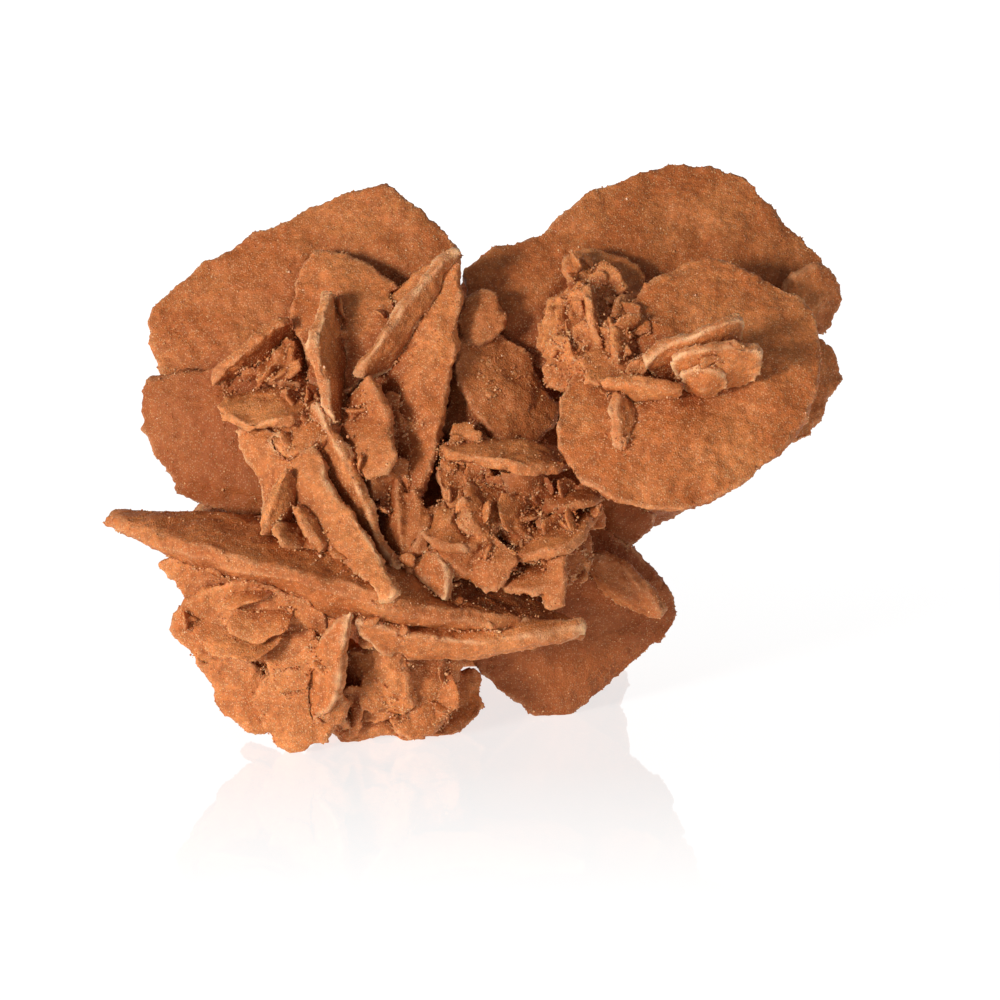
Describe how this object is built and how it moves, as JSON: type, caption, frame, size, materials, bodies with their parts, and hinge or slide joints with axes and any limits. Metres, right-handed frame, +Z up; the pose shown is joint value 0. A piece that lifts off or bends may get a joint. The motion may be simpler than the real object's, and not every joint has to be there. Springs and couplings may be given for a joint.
{
  "type": "gypsum sand rose",
  "caption": "Free-standing gypsum sand rose: lens-shaped sandy crystals grown through each other in rosettes around a thick spear-ended front ledge, resting on worn crystal tips.",
  "frame": {"origin": "on the surface that the rose rests on, under the middle of its bounding box", "axes": "+Z up, -Y towards the showing side, +X to the right as seen from the showing side"},
  "size_m": [0.104, 0.0583, 0.0762],
  "materials": {
    "amber_gypsum": "waxy translucent orange-brown gypsum full of fine sand, slightly paler grainy rims",
    "sandy_gypsum": "matt sugary gypsum crusted with loose pale sand grains",
    "frosted_gypsum": "orange-brown gypsum with whitish frosted rims and a faint sparkle"
  },
  "bodies": {
    "root": {"front_ledge": "amber_gypsum", "front_right_plate": "amber_gypsum", "upper_right_plate": "amber_gypsum", "upper_left_plate": "amber_gypsum", "lower_left_plate": "amber_gypsum", "bottom_right_plate": "amber_gypsum", "tall_spear": "amber_gypsum", "white_edged_fin": "frosted_gypsum", "spear_companion": "frosted_gypsum", "inner_upper_petal": "amber_gypsum", "left_small_fin": "sandy_gypsum", "left_leaves": "sandy_gypsum", "left_block": "sandy_gypsum", "triangle_plate": "frosted_gypsum", "long_fin": "frosted_gypsum", "crossing_leaves": "sandy_gypsum", "triangle_fin": "sandy_gypsum", "ledge_tuft": "sandy_gypsum", "frosted_leaf": "frosted_gypsum", "stem_tuft": "sandy_gypsum", "middle_petal": "sandy_gypsum", "inner_right_petal": "sandy_gypsum", "gap_tuft": "sandy_gypsum", "right_corner_petal": "amber_gypsum", "right_rear_petal": "amber_gypsum", "upper_curved_blade": "frosted_gypsum", "middle_curved_blade": "frosted_gypsum", "lower_curved_blade": "frosted_gypsum", "level_blade": "sandy_gypsum", "upright_blade": "frosted_gypsum", "right_rosette": "sandy_gypsum", "centre_ledge": "sandy_gypsum", "swirl_petal": "sandy_gypsum", "centre_wedge": "sandy_gypsum", "centre_ridge": "sandy_gypsum", "centre_left_tuft": "sandy_gypsum", "centre_right_tuft": "sandy_gypsum", "under_right_petal": "amber_gypsum", "bottom_right_fin": "sandy_gypsum", "lower_spear": "frosted_gypsum", "bowl_petal": "sandy_gypsum", "under_ledge_petal": "sandy_gypsum", "lower_left_petal": "sandy_gypsum", "bottom_keel": "sandy_gypsum", "lower_middle_petal": "sandy_gypsum", "lower_right_petal": "sandy_gypsum", "base_tuft": "sandy_gypsum", "heart_plate": "amber_gypsum", "ledge_lower_plate": "frosted_gypsum", "rear_shelf": "amber_gypsum", "middle_keel": "amber_gypsum", "rear_left_keel": "amber_gypsum", "rear_right_keel": "amber_gypsum", "rear_left_wing": "amber_gypsum", "rear_left_petal": "amber_gypsum", "rear_right_petal": "amber_gypsum", "rear_cross_plate": "amber_gypsum", "rear_left_foot": "amber_gypsum", "rear_right_foot": "amber_gypsum"}
  },
  "joints": []
}
